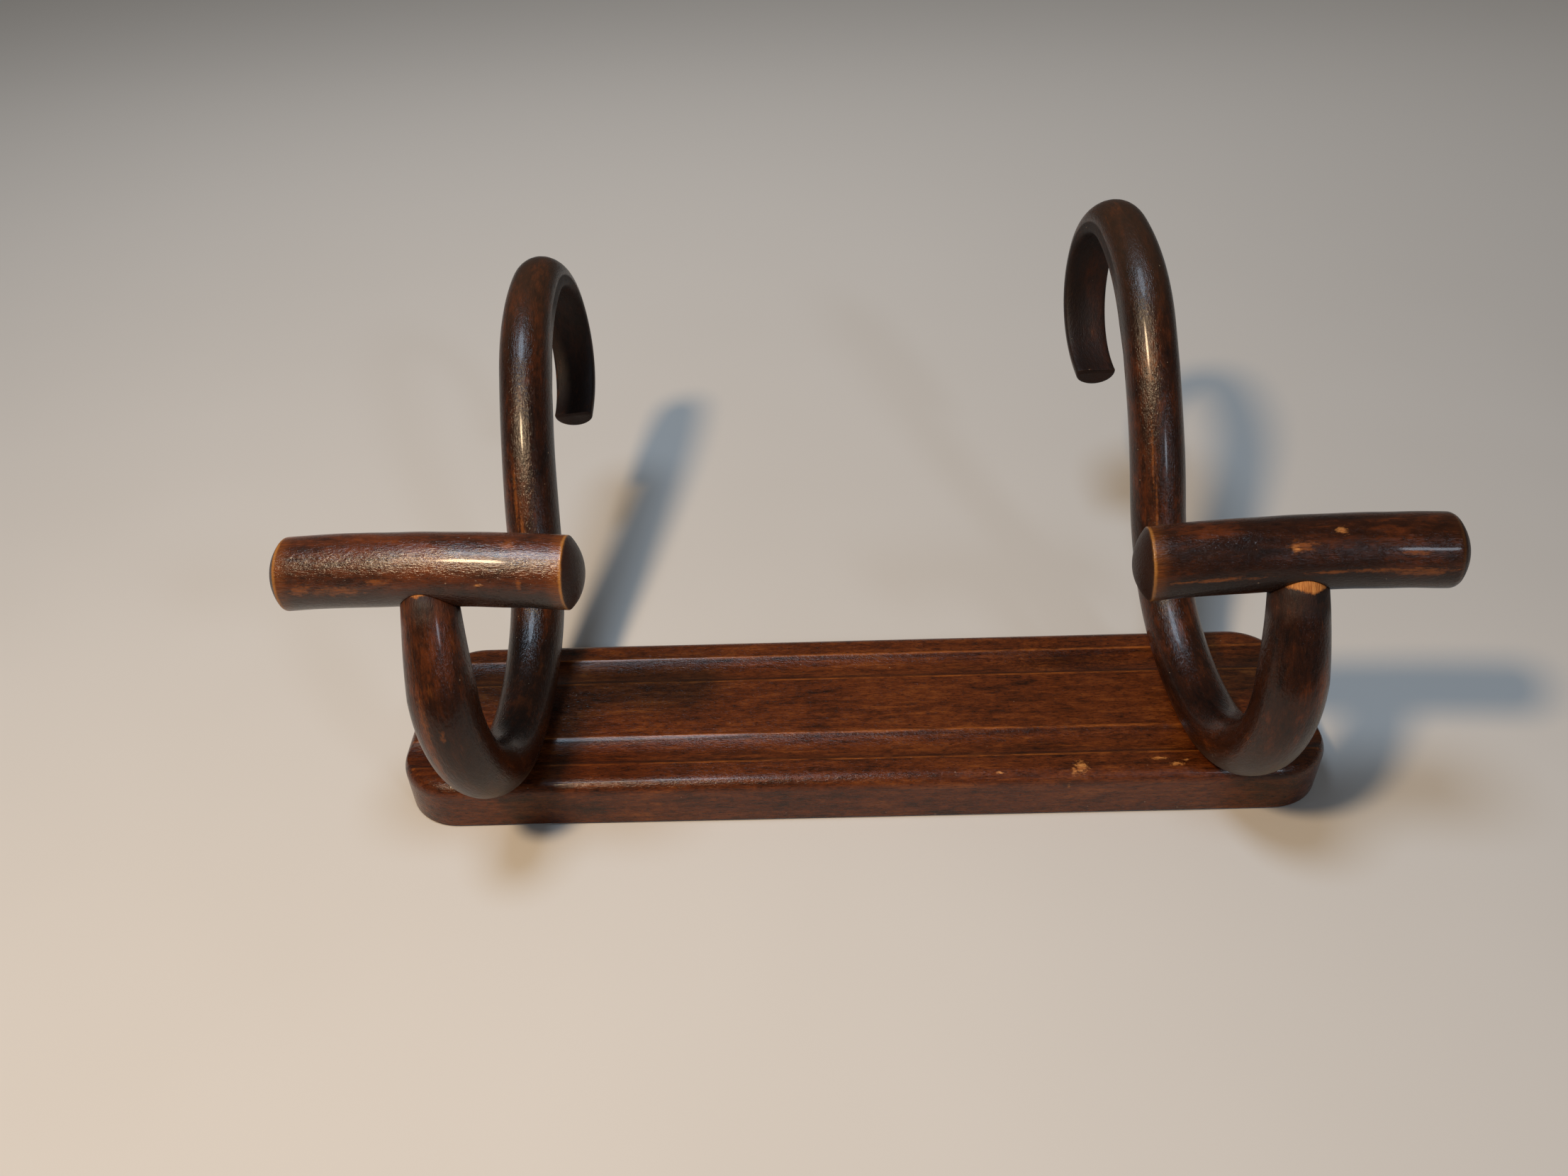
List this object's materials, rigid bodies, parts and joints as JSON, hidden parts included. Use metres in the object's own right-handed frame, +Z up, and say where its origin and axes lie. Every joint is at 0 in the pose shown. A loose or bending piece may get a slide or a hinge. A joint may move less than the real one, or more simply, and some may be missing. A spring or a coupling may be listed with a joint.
{
  "type": "bentwood wall hook rack",
  "caption": "Wall rack in dark stained bentwood: a fluted backboard, S-shaped rod hooks curled over at the top, a turned cross bar on each hook's front end, keyhole plates behind.",
  "frame": {"origin": "centre of the backboard's flat back face, where it meets the wall", "axes": "+X along the board, +Y up the wall towards the curled ends of the hooks, +Z out of the wall; lying on its back on a table, +Z is up"},
  "size_m": [0.3933, 0.2543, 0.1658],
  "materials": {
    "board_wood": "satin",
    "rod_wood": "satin",
    "bar_wood": "gloss",
    "dowel_wood": "matte",
    "hook_screw_steel": "dull",
    "hanger_brass": "tarnished"
  },
  "bodies": {
    "root": {"backboard": "board_wood", "left_hook": "rod_wood", "left_cross_bar": "bar_wood", "left_cross_bar_dowel": "dowel_wood", "left_hook_screws": "hook_screw_steel", "left_hanger_plate": "hanger_brass", "left_hanger_screws": "hanger_brass", "right_hook": "rod_wood", "right_cross_bar": "bar_wood", "right_cross_bar_dowel": "dowel_wood", "right_hook_screws": "hook_screw_steel", "right_hanger_plate": "hanger_brass", "right_hanger_screws": "hanger_brass"}
  },
  "joints": []
}
